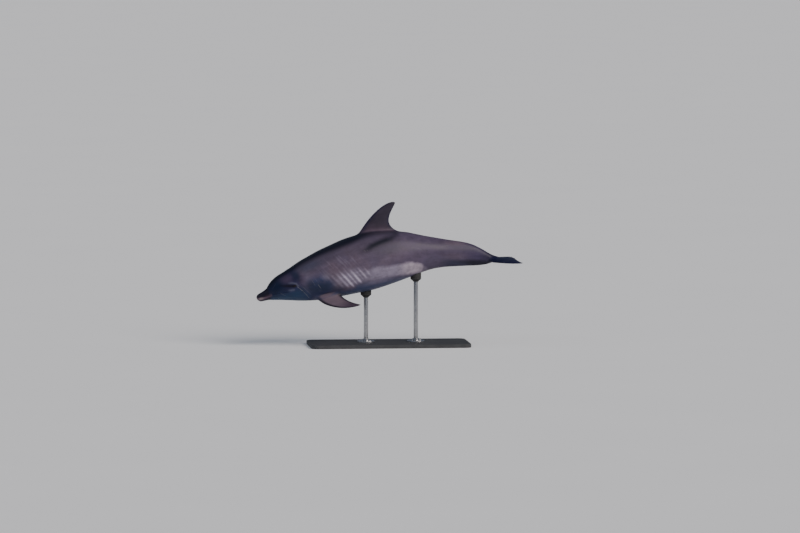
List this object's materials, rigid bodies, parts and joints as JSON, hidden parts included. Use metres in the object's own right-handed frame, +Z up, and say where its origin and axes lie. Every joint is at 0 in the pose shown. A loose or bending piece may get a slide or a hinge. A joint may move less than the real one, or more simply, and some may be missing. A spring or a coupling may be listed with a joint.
{
  "type": "bottlenose dolphin",
  "caption": "Life-size still model of a bottlenose dolphin in mid leap, beak down and back arched with its tail level behind it, held over a flat base by rods.",
  "frame": {"origin": "centre of the stand base's underside, on the floor", "axes": "+Z up, -X the way the beak points, -Y the animal's left"},
  "size_m": [2.1434, 0.56, 1.171],
  "materials": {
    "skin": "smooth wet skin, brownish grey, dark on the back and pale on the lower flank",
    "eye": "polished, almost black",
    "stand_board": "painted matt charcoal",
    "stand_metal": "satin",
    "stand_pad": "matt black"
  },
  "bodies": {
    "root": {"upper_jaw": "skin", "lower_jaw": "skin", "melon": "skin", "head": "skin", "neck": "skin", "chest": "skin", "trunk": "skin", "loin": "skin", "tail_stock": "skin", "tail_root": "skin", "dorsal_fin": "skin", "flipper_left": "skin", "flipper_right": "skin", "fluke_left": "skin", "fluke_right": "skin", "eye_left": "eye", "eye_right": "eye", "stand_base": "stand_board", "stand_rod_front": "stand_metal", "stand_flange_front": "stand_metal", "stand_cup_front": "stand_pad", "stand_rod_rear": "stand_metal", "stand_flange_rear": "stand_metal", "stand_cup_rear": "stand_pad"}
  },
  "joints": []
}
